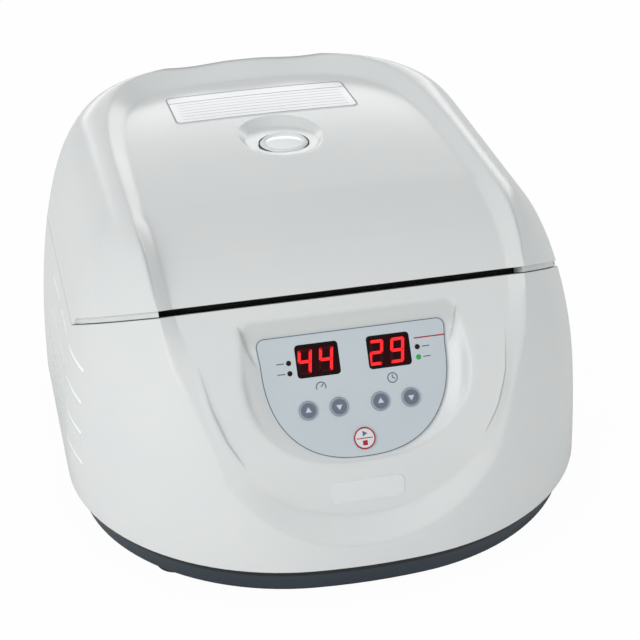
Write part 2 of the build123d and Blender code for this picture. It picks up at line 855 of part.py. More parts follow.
def build_chamber():
    deck_z = parting_z - deck_sink
    r, w = bowl_radius, bowl_wall
    inner_corner = bowl_corner + w / 2
    under_bowl = [(bowl_hole, bowl_floor_z - w), (r - bowl_corner, bowl_floor_z - w)]
    outside = [(r + w, bowl_floor_z + bowl_corner), (r + w, deck_z), (r + bowl_flange, deck_z)]
    inside = [(r + bowl_flange, deck_z + w), (r, deck_z + w), (r, bowl_floor_z + inner_corner)]
    in_bowl = [(r - inner_corner, bowl_floor_z), (bowl_hole, bowl_floor_z)]
    parts["chamber_bowl"] = turned(under_bowl + outside + inside + in_bowl, rotor_y)
    foot_z = deck_z + w
    lip_z, crest_z = foot_z + gasket_lip_z, foot_z + gasket_height
    seal = [(gasket_inner, foot_z), (gasket_outer, foot_z), (gasket_outer, lip_z),
            (gasket_lip_outer, crest_z), (gasket_lip_inner, crest_z), (gasket_inner, lip_z)]
    parts["bowl_gasket"] = turned([(r + out, z) for out, z in seal], rotor_y)

    pan_z = pan_floor_z + pan_wall
    plate_low = pan_z + damper_height
    half = damper_pitch / 2
    corners = [(sx * half, rotor_y + sy * half) for sx in (-1, 1) for sy in (-1, 1)]
    damper = turned([(0, 0), (damper_radius, 0), (damper_radius, damper_height / 4),
                     (damper_radius - damper_waist, damper_height / 2), (damper_radius, damper_height * 3 / 4),
                     (damper_radius, damper_height), (0, damper_height)], 0)
    dampers = [Pos(x, y, pan_z) * damper for x, y in corners]
    parts["motor_dampers"] = Compound(children=dampers)
    side = motor_plate_side / 2
    plate = slab(-side, side, rotor_y - side, rotor_y + side, plate_low, plate_low + motor_plate_thick)
    plate = fillet(plate.edges().filter_by(Axis.Z), motor_plate_corner)
    screw_spots = []
    for step in range(4):
        turn = math.radians(90 * step)
        screw_spots.append((motor_screw_circle * math.cos(turn), rotor_y + motor_screw_circle * math.sin(turn)))
    motor_low = plate_low + motor_plate_thick
    motor_top = motor_low + motor_height
    lid_z = motor_top - motor_boss_height
    can = [(0, motor_low), (motor_radius, motor_low), (motor_radius, lid_z - motor_round)]
    cover = [(motor_radius - motor_round, lid_z), (motor_boss_radius, lid_z), (motor_boss_radius, motor_top)]
    motor = turned(can + cover + [(0, motor_top)], rotor_y)
    motor -= post(shaft_radius + shaft_fit, motor_low + motor_shaft_seat, motor_top + hole_lap, 0, rotor_y)
    screws = []
    for x, y in screw_spots:
        hole = post(screw_hole, plate_low - hole_lap, motor_low + motor_screw_depth + 1, x, y)
        plate -= hole
        motor -= hole
        screw = post(screw_head_radius, plate_low - screw_head, plate_low, x, y)
        screws.append(screw + post(screw_hole - screw_fit, plate_low, motor_low + motor_screw_depth, x, y))
    parts["motor_plate"] = plate
    parts["motor"] = motor
    parts["motor_screws"] = Compound(children=screws)
    shaft = post(shaft_radius, motor_low + motor_shaft_seat + 0.2, shaft_top_z - 1, 0, rotor_y)
    parts["motor_shaft"] = chamfer(shaft.edges().group_by(Axis.Z)[-1], shaft_chamfer)


def build_rotor():
    lean = math.radians(tube_angle)
    along = (math.sin(lean), -math.cos(lean))
    across = (math.cos(lean), math.sin(lean))

    def at(down, out):
        radius = tube_top_radius + along[0] * down + across[0] * out
        return radius, tube_top_z + along[1] * down + across[1] * out

    bore = shaft_radius + shaft_fit / 2
    outer_foot = at(sleeve_length, head_half)[0]
    above = [(bore, hub_top_z), (hub_join_radius, hub_top_z), at(0, head_half),
             at(sleeve_length - head_skirt, head_half),
             (outer_foot - head_foot_in, rotor_low_z + head_foot_rise)]
    foot = [(outer_foot - head_foot_run, rotor_low_z), (at(sleeve_length, -head_half)[0], rotor_low_z)]
    below = [at(web_down, -head_half), (hub_radius + web_run, hub_top_z - web_drop),
             (hub_radius, hub_top_z - hub_shoulder), (hub_radius, hub_top_z - hub_length),
             (bore, hub_top_z - hub_length)]
    head = turned(above + foot + below, rotor_y)
    sleeves = []
    cushions = []
    for step in range(places):
        place = Location((0, rotor_y, 0)) * Location((0, 0, 0), (0, 0, 360 / places * (step + 0.5)))
        tilt = place * Location((tube_top_radius, 0, tube_top_z), (0, -tube_angle, 0))
        bottom = -sleeve_length
        head -= tilt * post(sleeve_radius + sleeve_fit, bottom - seat_gap, 0)
        head -= tilt * post(sleeve_radius + sleeve_lip + seat_gap, -seat_depth, hub_radius)
        sleeve = post(sleeve_radius, bottom, -seat_depth)
        sleeve += post(sleeve_radius + sleeve_lip, -seat_depth, sleeve_lip - seat_depth)
        sleeve -= post(sleeve_radius - sleeve_wall, bottom + sleeve_floor, hub_radius)
        sleeves.append(tilt * sleeve)
        floor = bottom + sleeve_floor
        cushions.append(tilt * post(sleeve_radius - sleeve_wall - sleeve_fit, floor, floor + cushion_height))
    parts["rotor_head"] = head
    parts["tube_sleeves"] = Compound(children=sleeves)
    parts["sleeve_cushions"] = Compound(children=cushions)
    with BuildPart() as nut:
        with BuildSketch(Plane.XY.offset(hub_top_z)):
            Circle(nut_radius)
        extrude(amount=nut_height)
        chamfer(nut.edges().group_by(Axis.Z)[-1], nut_chamfer)
    body = nut.part
    grip = post(nut_grip_radius, hub_top_z - hole_lap, hub_top_z + nut_height + hole_lap, nut_radius + seat_gap)
    for step in range(nut_grips):
        body -= Rot(0, 0, 360 / nut_grips * step) * grip
    body = Pos(0, rotor_y, 0) * body - post(bore, hub_top_z - hole_lap, shaft_top_z - 0.5, 0, rotor_y)
    parts["rotor_nut"] = body


def build_window():
    inner = window_radius - window_ring_width
    bore = inner + lens_fit
    top = dish_floor_z + window_stand
    ring = turned([(bore, shelf_z), (window_radius, shelf_z), (window_radius, top - ring_chamfer),
                   (window_radius - ring_chamfer, top), (inner + ring_inner_chamfer, top),
                   (bore, top - ring_inner_chamfer)], rotor_y)
    parts["window_ring"] = ring
    crown = top + lens_proud
    sphere = (inner**2 + lens_rise**2) / (2 * lens_rise)
    dome = Pos(0, rotor_y, crown - sphere) * Sphere(sphere)
    parts["window_lens"] = post(inner, shelf_z, crown + lens_rise, 0, rotor_y) & dome


def build_liner():
    low = liner_z
    high = liner_z + liner_thick
    step_y = parting_y - liner_step
    sheet = pebble(wall + liner_gap) & slab(-past_x, past_x, step_y, past_y, low, high)
    sheet += pebble(wall + rim_land + liner_gap) & slab(-past_x, past_x, ledge_y + hole_lap, step_y, low, high)
    t = liner_thick
    dome = turned([(0, low - t), (well_radius, low - t), (well_radius, low), (well_top_radius, well_top_z),
                   (0, well_top_z)], rotor_y)
    cap = turned([(0, low), (well_radius + t, low), (well_top_radius + t, well_top_z + t),
                  (0, well_top_z + t)], rotor_y)
    liner = sheet + cap - dome - post(sight_radius, well_top_z - t, well_top_z + 2 * t, 0, rotor_y)
    screws = []
    for x, y in liner_screw_places:
        liner -= post(screw_hole, low - hole_lap, high + hole_lap, x, y)
        screw = post(screw_head_radius, low - liner_screw_head, low, x, y)
        screws.append(screw + post(screw_hole - screw_fit, low, low + liner_screw_length, x, y))
    parts["lid_liner"] = largest(liner)
    parts["liner_screws"] = Compound(children=screws)


def build_panel():
    sheet = panel_solid(0.0, -panel_sheet, 0.0)
    for hole in panel_holes(-panel_sheet - hole_lap, hole_lap, key_gap):
        sheet -= hole
    parts["control_panel"] = sheet
    for name, across in display_places.items():
        deep = board_back - key_gap
        parts[name] = on_panel(across, 0, -key_gap - deep / 2) * Box(display_width, display_height, deep)
    tray_back = -panel_sheet - tray_thick
    flange_top = tray_back - key_gap
    for name, (across, along, radius) in key_places.items():
        tall = key_stand - flange_top
        cap = Cylinder(radius, tall)
        cap = fillet(cap.edges().group_by(Axis.Z)[-1], key_round)
        key = on_panel(across, along, flange_top + tall / 2) * cap
        key += on_panel(across, along, flange_top - key_flange / 2) * Cylinder(radius + key_flange, key_flange)
        stem_middle = flange_top - key_flange - key_stem / 2
        key += on_panel(across, along, stem_middle) * Cylinder(key_stem_radius, key_stem)
        parts[name] = key
    lamp = Cylinder(lamp_radius, board_back + key_gap)
    lamps = [on_panel(across, along, (key_gap - board_back) / 2) * lamp for across, along in lamp_places]
    parts["indicator_lamps"] = Compound(children=lamps)
    mid = (board_high + board_low) / 2
    sheet = Box(2 * board_half, board_high - board_low, board_thick)
    posts = []
    tall = board_back + tray_back
    for across in (board_post_inset - board_half, board_half - board_post_inset):
        for along in (board_high - board_post_inset, board_post_low):
            posts.append(on_panel(across, along, -board_back + tall / 2) * Cylinder(board_post_radius, tall))
    parts["control_board"] = on_panel(0, mid, -board_back - board_thick / 2) * sheet
    parts["board_posts"] = Compound(children=posts)


def build_latch():
    under = parting_prism(-ledge_thick)
    box_low = hook_pivot_z - latch_box_drop
    box_rear = ledge_y - wall - latch_rear_gap
    front = latch_y - latch_box_front
    room_half = latch_box_half - latch_wall
    shell = slab(-latch_box_half, latch_box_half, front, box_rear, box_low, past_z) & under
    cavity = slab(-room_half, room_half, front + latch_wall, box_rear - latch_rear_wall,
                  box_low + latch_floor, past_z)
    pin_reach = (latch_box_half + room_half) / 2
    pin = barrel(hook_pin, -pin_reach, pin_reach, hook_pivot_y, hook_pivot_z)
    parts["latch_housing"] = largest(shell - cavity + pin)
    parts["latch_coil"] = barrel(coil_radius, -coil_half, coil_half, coil_y, box_low - coil_radius)
    window_low = hook_nose_z - 0.5
    half_across, half_thick = striker_width / 2, striker_thick / 2
    striker = slab(-half_across, half_across, latch_y - half_thick, latch_y + half_thick,
                   window_low - striker_frame, parting_at(latch_y) + striker_root)
    striker -= slab(-striker_window_half, striker_window_half, latch_y - striker_thick, latch_y + striker_thick,
                    window_low, window_low + striker_window)
    parts["latch_striker"] = striker
    heel, tip = hook_pivot_y - hook_half, hook_pivot_y + hook_half
    head_z = hook_nose_z + hook_head
    points = [(heel, hook_pivot_z - hook_heel), (tip, hook_pivot_z - hook_heel), (tip, head_z),
              (latch_y - hook_half, head_z), (latch_y - hook_bite, hook_nose_z), (heel, hook_nose_z)]
    pivot_hole = barrel(hook_pin + pin_fit, -2 * hook_half, 2 * hook_half, hook_pivot_y, hook_pivot_z)
    parts["latch_hook"] = side_prism(points, -hook_half, hook_half) - pivot_hole
    switch = slab(sensor_x - sensor_half_x, sensor_x + sensor_half_x,
                  latch_y - sensor_half_y, latch_y + sensor_half_y, sensor_low_z, past_z)
    parts["lid_switch"] = largest(switch & under)


def on_plate(x, half, y0, y1, margin=0.0):
    """Block on the rear plate, centred at x, of half sizes (across, up), between two y values."""
    wide, tall = half[0] + margin, half[1] + margin
    return slab(x - wide, x + wide, y0, y1, plate_z - tall, plate_z + tall)


def build_rear():
    face = plate_y
    back = face - rear_room_depth
    plate = on_plate(0, (plate_width / 2, plate_height / 2), face - plate_thick, face)
    for x, half in ((inlet_x, inlet_half), (fuse_x, fuse_half), (switch_x, switch_half)):
        plate -= on_plate(x, half, back, past_y, cutout_gap)
    parts["rear_plate"] = plate
    inlet = on_plate(inlet_x, inlet_half, face - inlet_depth, face)
    inlet += on_plate(inlet_x, inlet_flange_half, face, face + inlet_flange)
    inlet -= on_plate(inlet_x, inlet_socket_half, face - inlet_socket_depth, past_y)
    blade_back = face - inlet_socket_depth - 1
    for dx, dz in blade_places:
        inlet += Pos(dx, 0, dz) * on_plate(inlet_x, blade_half, blade_back, blade_back + blade_length)
    parts["power_inlet"] = inlet
    drawer = on_plate(fuse_x, fuse_half, face - fuse_depth, face)
    drawer += on_plate(fuse_x, fuse_flange_half, face, face + fuse_flange)
    drawer -= Pos(0, 0, 6) * on_plate(fuse_x, (fuse_grip_half, 1), face + fuse_flange - 0.8, past_y)
    parts["fuse_drawer"] = drawer
    frame = on_plate(switch_x, switch_half, face - switch_depth, face)
    frame += on_plate(switch_x, switch_flange_half, face, face + switch_flange)
    frame -= on_plate(switch_x, (rocker_half_width + rocker_gap, rocker_room), rocker_y - rocker_sunk, past_y)
    socket_reach = trunnion_reach + cutout_gap
    frame -= barrel(trunnion_radius + pin_fit, switch_x - socket_reach, switch_x + socket_reach,
                    rocker_y, plate_z)
    parts["switch_frame"] = frame
    back_half = rocker_half - rocker_draft
    points = [(rocker_crest, -rocker_half), (rocker_valley, 0), (rocker_crest, rocker_half),
              (-rocker_back, back_half), (-rocker_back, -back_half)]
    points = [(rocker_y + out, plate_z + up) for out, up in points]
    rocker = side_prism(points, switch_x - rocker_half_width, switch_x + rocker_half_width)
    rocker += barrel(trunnion_radius, switch_x - trunnion_reach, switch_x + trunnion_reach, rocker_y, plate_z)
    pivot = Location((0, rocker_y, plate_z))
    parts["power_rocker"] = pivot * Rot(rocker_throw, 0, 0) * pivot.inverse() * rocker
    supply_x = supply_edge - half_width
    supply_z = pan_floor_z + pan_wall
    parts["power_supply"] = slab(supply_x, supply_x + supply_width, supply_y, supply_y + supply_length,
                                 supply_z, supply_z + supply_height)


build_housing()
build_base()
build_chamber()
build_rotor()
build_window()
build_liner()
build_panel()
build_latch()
build_rear()

os.makedirs("parts", exist_ok=True)
shift = -(front_y + hinge_y + knuckle_radius) / 2
for name, solid in parts.items():
    export_step(Pos(0, shift, 0) * solid, f"parts/{name}.step")
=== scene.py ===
import math
import bpy
from mathutils import Matrix, Vector


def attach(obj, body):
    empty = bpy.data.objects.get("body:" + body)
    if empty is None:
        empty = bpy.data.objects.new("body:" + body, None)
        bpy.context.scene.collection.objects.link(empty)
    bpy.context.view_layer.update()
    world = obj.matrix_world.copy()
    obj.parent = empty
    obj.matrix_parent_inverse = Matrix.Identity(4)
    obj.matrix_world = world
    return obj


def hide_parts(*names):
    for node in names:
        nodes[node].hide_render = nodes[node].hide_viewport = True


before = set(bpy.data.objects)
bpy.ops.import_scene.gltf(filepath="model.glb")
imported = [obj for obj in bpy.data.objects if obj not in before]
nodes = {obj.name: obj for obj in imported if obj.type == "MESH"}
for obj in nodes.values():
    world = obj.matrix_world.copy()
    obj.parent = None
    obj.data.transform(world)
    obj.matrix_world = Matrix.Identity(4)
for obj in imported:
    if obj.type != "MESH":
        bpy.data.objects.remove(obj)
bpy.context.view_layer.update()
mm = 0.001
print("frame loaded")


def deselectAll():
    if bpy.context.object and bpy.context.object.mode != "OBJECT":
        bpy.ops.object.mode_set(mode="OBJECT")
    bpy.ops.object.select_all(action="DESELECT")


def activate(piece):
    deselectAll()
    piece.select_set(True)
    bpy.context.view_layer.objects.active = piece


def pickFaces(piece, test):  # selects faces by centre and normal, and stays in edit mode
    activate(piece)
    bpy.ops.object.mode_set(mode="EDIT")
    bpy.ops.mesh.select_mode(type="FACE")
    bpy.ops.mesh.select_all(action="DESELECT")
    bpy.ops.object.mode_set(mode="OBJECT")
    for face in piece.data.polygons:
        face.select = test(face.center, face.normal)
    bpy.ops.object.mode_set(mode="EDIT")


def everyFace(centre, normal):
    return True


def topFaces(centre, normal):
    return normal.z > 0.9


def leaveEdit():
    bpy.ops.object.mode_set(mode="OBJECT")


def applyAll(piece):
    activate(piece)
    for modifier in list(piece.modifiers):
        bpy.ops.object.modifier_apply(modifier=modifier.name)


def roundEdges(piece, width, segments=2, angle=30):
    bevel = piece.modifiers.new("roundEdges", "BEVEL")
    bevel.width = width * mm
    bevel.segments = segments
    bevel.limit_method = "ANGLE"
    bevel.angle_limit = math.radians(angle)
    applyAll(piece)


def bevelTop(piece, width, segments=4):  # rounds the rim of a piece's upper face
    pickFaces(piece, topFaces)
    bpy.ops.mesh.bevel(offset=width * mm, segments=segments, affect="EDGES")
    leaveEdit()


def smooth(piece, angle=35):
    activate(piece)
    bpy.ops.object.shade_smooth_by_angle(angle=math.radians(angle))


def turned(angle, axis="Z"):
    return Matrix.Rotation(math.radians(angle), 4, axis)


def shifted(x, y, z=0.0):
    return Matrix.Translation((x * mm, y * mm, z * mm))


def settle(piece, place=None):  # moves the mesh to its place and leaves the object at the origin
    activate(piece)
    if place is not None:
        piece.matrix_world = place @ piece.matrix_world
    bpy.ops.object.transform_apply(location=True, rotation=True, scale=True)


def joined(pieces, name):
    deselectAll()
    for piece in pieces:
        piece.select_set(True)
    bpy.context.view_layer.objects.active = pieces[0]
    if len(pieces) > 1:
        bpy.ops.object.join()
    whole = bpy.context.object
    whole.name = name
    return whole


def copyOf(piece, place=None):
    twin = piece.copy()
    twin.data = piece.data.copy()
    bpy.context.scene.collection.objects.link(twin)
    if place is not None:
        settle(twin, place)
    return twin


def addCylinder(radius, depth, sides, z=0.0):
    deselectAll()
    bpy.ops.mesh.primitive_cylinder_add(vertices=sides, radius=radius * mm, depth=depth * mm, location=(0, 0, z * mm))
    piece = bpy.context.object
    settle(piece)
    return piece


def addBox(size, middle):
    deselectAll()
    bpy.ops.mesh.primitive_cube_add(size=1, location=[value * mm for value in middle])
    piece = bpy.context.object
    piece.scale = [value * mm for value in size]
    settle(piece)
    return piece


def finishPiece(piece, name, body, finish, stands=()):
    piece.name = name
    piece.data.materials.clear()
    piece.data.materials.append(finish)
    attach(piece, body)
    if stands:
        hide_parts(*stands)
    return piece


def tint(red, green, blue, alpha=1.0):  # a colour as the picture shows it, 0 to 255
    def straight(value):
        share = value / 255
        return share / 12.92 if share <= 0.04045 else ((share + 0.055) / 1.055) ** 2.4

    return (straight(red), straight(green), straight(blue), alpha)


def feed(tree, value, socket):  # a socket takes a plain value or a link
    if isinstance(value, bpy.types.NodeSocket):
        tree.links.new(value, socket)
    else:
        socket.default_value = value


def addNode(tree, kind, feeds=None, **settings):
    node = tree.nodes.new("ShaderNode" + kind)
    for name, value in settings.items():
        setattr(node, name, value)
    for label, value in (feeds or {}).items():
        feed(tree, value, node.inputs[label])
    return node


def mathNode(tree, operation, *values):
    node = addNode(tree, "Math", operation=operation)
    for socket, value in zip(node.inputs, values):
        feed(tree, value, socket)
    return node.outputs[0]


def past(tree, value, limit):  # how far a value is over a limit, and 0 below it
    return mathNode(tree, "MAXIMUM", mathNode(tree, "SUBTRACT", value, limit), 0)


def reachOf(tree, first, second):
    squares = [mathNode(tree, "POWER", value, 2) for value in (first, second)]
    return mathNode(tree, "SQRT", mathNode(tree, "ADD", *squares))


def splitPlace(tree, place, scale=1000):  # across, along and up, in millimetres
    split = addNode(tree, "SeparateXYZ", {"Vector": place})
    return [mathNode(tree, "MULTIPLY", split.outputs[axis], scale) for axis in ("X", "Y", "Z")]


def blend(tree, share, first, second):
    return addNode(tree, "Mix", {"Factor": share, "A": first, "B": second}, data_type="RGBA").outputs["Result"]


def mixShaders(tree, share, first, second, end):
    mix = addNode(tree, "MixShader", {"Fac": share})
    for value, socket in zip((first, second), list(mix.inputs)[1:]):
        feed(tree, value.outputs[0], socket)
    feed(tree, mix.outputs[0], end)


# Shared effects, each a node group that is placed in the materials with its own values
def newGroup(name, values, output, *more):
    group = bpy.data.node_groups.new(name, "ShaderNodeTree")
    group.interface.new_socket(name="Position", in_out="INPUT", socket_type="NodeSocketVector")
    for label, value in values.items():
        group.interface.new_socket(name=label, in_out="INPUT", socket_type="NodeSocketFloat").default_value = value
    for label in (output, *more):
        group.interface.new_socket(name=label, in_out="OUTPUT", socket_type="NodeSocketFloat")
    start = group.nodes.new("NodeGroupInput")
    end = group.nodes.new("NodeGroupOutput")
    return group, start.outputs, end.inputs


def makeGrainGroup():
    sizes = {"Grain Size": 1.0, "Wave Size": 60.0, "Wave Share": 0.3}
    group, given, end = newGroup("mouldGrain", sizes, "Height", "Mottle")
    noises = []
    for label, detail in (("Grain Size", 3), ("Wave Size", 2)):
        scale = mathNode(group, "DIVIDE", 1000, given[label])
        noise = addNode(group, "TexNoise", {"Vector": given["Position"], "Scale": scale, "Detail": detail})
        noises.append(noise.outputs["Fac"])
    fine, broad = noises
    fineShare = mathNode(group, "MULTIPLY", fine, mathNode(group, "SUBTRACT", 1, given["Wave Share"]))
    broadShare = mathNode(group, "MULTIPLY", broad, given["Wave Share"])
    feed(group, mathNode(group, "ADD", fineShare, broadShare), end["Height"])
    feed(group, broad, end["Mottle"])
    return group


def makeRingGroup():
    group, given, end = newGroup("latheRings", {"Pitch": 0.6}, "Height")
    across, along, high = splitPlace(group, given["Position"], 1)
    climb = mathNode(group, "ADD", reachOf(group, across, along), high)
    scale = mathNode(group, "DIVIDE", 1000, given["Pitch"])
    ring = addNode(group, "TexNoise", noise_dimensions="1D")
    for value, label in ((climb, "W"), (scale, "Scale"), (4, "Detail")):
        feed(group, value, ring.inputs[label])
    feed(group, ring.outputs["Fac"], end["Height"])
    return group


# The moulding's edge radius is least near each of these, and grows with the distance
softEdges = {
    "places": {"Widest": 5.0, "Seam Height": 134.0, "Seam Front": -62.0, "Seam Slope": 0.5, "Window Y": 62.0,
               "Foot Height": 24.0, "Slot Side": 130.0, "Slot Top": 124.0},
    "seam": {"clear": 7, "growth": 0.6, "least": 0.8},
    "window": {"clear": 34, "growth": 0.3, "least": 1.2},
    "foot": {"growth": 0.5, "least": 0.5},
    "slots": {"growth": 0.5, "least": 0.6},
}


def makeSoftGroup():
    group, given, end = newGroup("edgeSoftness", softEdges["places"], "Radius")
    across, along, high = splitPlace(group, given["Position"])
    side = mathNode(group, "ABSOLUTE", across)

    def grown(distance, name, more=None):
        look = softEdges[name]
        least = look["least"] if more is None else mathNode(group, "ADD", more, look["least"])
        return mathNode(group, "MULTIPLY_ADD", distance, look["growth"], least)

    ahead = mathNode(group, "MAXIMUM", mathNode(group, "SUBTRACT", given["Seam Front"], along), 0)
    seam = mathNode(group, "MULTIPLY_ADD", ahead, given["Seam Slope"], given["Seam Height"])
    offSeam = mathNode(group, "ABSOLUTE", mathNode(group, "SUBTRACT", high, seam))
    fromSeam = past(group, offSeam, softEdges["seam"]["clear"])
    back = mathNode(group, "SUBTRACT", along, given["Window Y"])
    fromWindow = past(group, reachOf(group, across, back), softEdges["window"]["clear"])
    fromFoot = past(group, high, given["Foot Height"])
    inward = mathNode(group, "MAXIMUM", mathNode(group, "SUBTRACT", given["Slot Side"], side), 0)
    limits = [grown(fromSeam, "seam"), grown(fromWindow, "window"), grown(fromFoot, "foot"),
              grown(inward, "slots", past(group, high, given["Slot Top"]))]
    least = given["Widest"]
    for limit in limits:
        least = mathNode(group, "MINIMUM", least, limit)
    feed(group, mathNode(group, "MULTIPLY", least, mm), end["Radius"])
    return group


# The soft painted shade on the recess wall over the panel: the housing's colour darkens there. Its height is counted
# up the panel's slope.
recess = {"places": {"Half Width": 58.0, "Height": 19.0, "Near": 5.5, "Far": 9.5}, "slope": (0.515, 0.857),
          "origin": (159.5, -142.6), "foot": (8, 17), "front": (-141, -137)}


def makeShadeGroup():
    group, given, end = newGroup("recessShade", recess["places"], "Share")
    across, along, high = splitPlace(group, given["Position"])
    slopeAlong, slopeUp = recess["slope"]
    start = slopeAlong * recess["origin"][0] + slopeUp * recess["origin"][1]
    climb = mathNode(group, "MULTIPLY_ADD", along, slopeAlong, mathNode(group, "MULTIPLY_ADD", high, slopeUp, start))
    side = past(group, mathNode(group, "ABSOLUTE", across), given["Half Width"])
    reach = reachOf(group, side, past(group, climb, given["Height"]))

    def fade(value, low, high):
        step = addNode(group, "MapRange", interpolation_type="SMOOTHSTEP")
        for source, label in ((low, "From Min"), (high, "From Max"), (value, "Value")):
            feed(group, source, step.inputs[label])
        return step.outputs["Result"]

    inside = mathNode(group, "SUBTRACT", 1, fade(reach, given["Near"], given["Far"]))
    ahead = mathNode(group, "SUBTRACT", 1, fade(along, *recess["front"]))
    share = mathNode(group, "MULTIPLY", mathNode(group, "MULTIPLY", inside, ahead), fade(climb, *recess["foot"]))
    feed(group, share, end["Share"])
    return group


grainGroup = makeGrainGroup()
shadeGroup = makeShadeGroup()
softGroup = makeSoftGroup()
ringGroup = makeRingGroup()

# What every finish shares unless it says otherwise
common = {"grain": (0.9, 0.03), "waveSize": 60, "waveShare": 0.2, "heightRange": (0.3, 0.7), "strength": 0.6,
          "gloss": 0.5, "bevelSamples": 8, "clearIndex": 1.49}


def mapped(tree, value, low, high, toLow=0.0, toHigh=1.0):
    feeds = {"Value": value, "From Min": low, "From Max": high, "To Min": toLow, "To Max": toHigh}
    return addNode(tree, "MapRange", feeds).outputs["Result"]


def makeFinish(name, look):
    finish = bpy.data.materials.new(name)
    finish.use_nodes = True
    tree = finish.node_tree
    shader = tree.nodes["Principled BSDF"]
    place = addNode(tree, "TexCoord").outputs["Object"]
    centred = addNode(tree, "Mapping", {"Vector": place, "Location": look.get("shift", (0, 0, 0))}).outputs["Vector"]
    size, depth = look.get("grain", common["grain"])
    grainFeeds = {"Position": centred, "Grain Size": size, "Wave Size": common["waveSize"],
                  "Wave Share": common["waveShare"]}
    grain = addNode(tree, "Group", grainFeeds, node_tree=grainGroup)
    height = grain.outputs["Height"]
    if "ringPitch" in look:
        rings = addNode(tree, "Group", {"Position": centred, "Pitch": look["ringPitch"]}, node_tree=ringGroup)
        height = rings.outputs["Height"]
    colour = blend(tree, grain.outputs["Mottle"], tint(*look["tints"][0]), tint(*look["tints"][-1]))
    # painted shade: the colour darkens to the shade tint on the recess wall over the panel
    if "recess" in look:
        shade = addNode(tree, "Group", {"Position": place}, node_tree=shadeGroup)
        colour = blend(tree, shade.outputs["Share"], colour, tint(*look["recess"]))
    if "paintedShadowAbove" in look:  # painted shadow: a darker line along the top of the piece
        low, high, dark = look["paintedShadowAbove"]
        level = addNode(tree, "SeparateXYZ", {"Vector": place}).outputs["Z"]
        colour = blend(tree, mapped(tree, level, low * mm, high * mm), colour, tint(*dark))
    bump = {"Distance": depth * mm, "Strength": common["strength"], "Height": height}
    if "edge" in look:  # rounds off the moulding's edges in the shading
        soft = addNode(tree, "Group", {"Position": place, "Widest": look["edge"]}, node_tree=softGroup)
        soften = addNode(tree, "Bevel", {"Radius": soft.outputs["Radius"]}, samples=common["bevelSamples"])
        bump["Normal"] = soften.outputs["Normal"]
    values = {"Base Color": colour, "Roughness": mapped(tree, height, *common["heightRange"], *look["rough"]),
              "Normal": addNode(tree, "Bump", bump).outputs["Normal"], "Metallic": look.get("metallic", 0),
              "Specular IOR Level": look.get("gloss", common["gloss"])}
    if "clear" in look:
        values.update({"Transmission Weight": look["clear"], "IOR": common["clearIndex"]})
    if "glow" in look:
        glow, strength = look["glow"]
        values.update({"Emission Color": tint(*glow), "Emission Strength": strength})
    for label, value in values.items():
        feed(tree, value, shader.inputs[label])
    return finish


